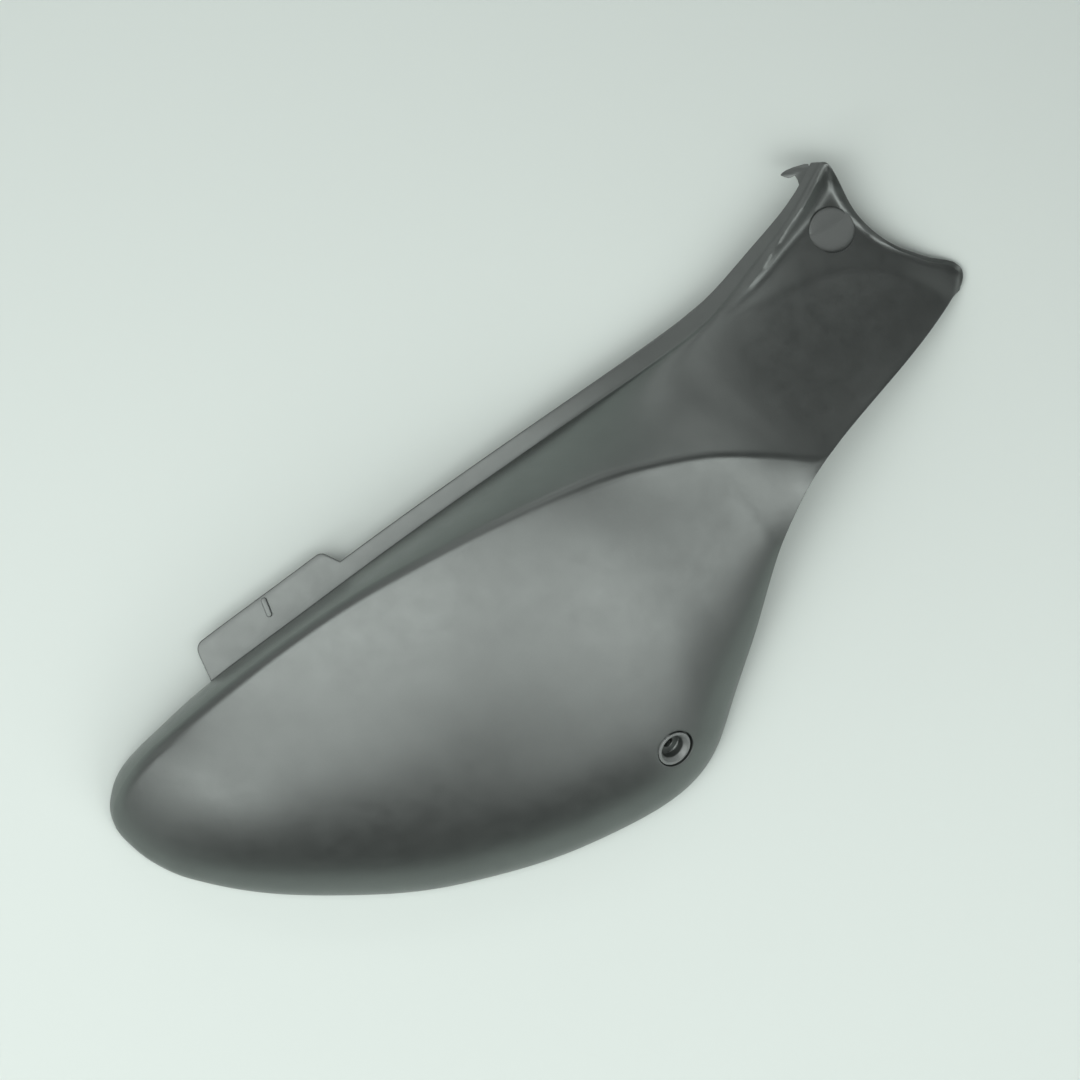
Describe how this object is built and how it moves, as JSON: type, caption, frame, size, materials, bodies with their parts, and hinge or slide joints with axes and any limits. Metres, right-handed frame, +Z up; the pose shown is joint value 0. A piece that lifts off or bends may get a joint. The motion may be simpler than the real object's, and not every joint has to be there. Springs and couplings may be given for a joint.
{
  "type": "scooter side panel",
  "caption": "Bulbous moulded side panel for a scooter: hollow shell with a mounting flange and tab, a sunk screw seat, a scooped neck and a forked, hooked tail.",
  "frame": {"origin": "middle of the bounding box, at the level of the rim the panel lies on", "axes": "+X along the straight mounting flange, from the round nose to the forked tail; +Y from the bulb towards the flange; +Z up, out of the painted face"},
  "size_m": [0.6234, 0.2772, 0.0882],
  "materials": {
    "satin_grey_paint": "satin metallic paint, warm grey, on moulded plastic"
  },
  "bodies": {
    "root": {"side_panel": "satin_grey_paint"}
  },
  "joints": []
}
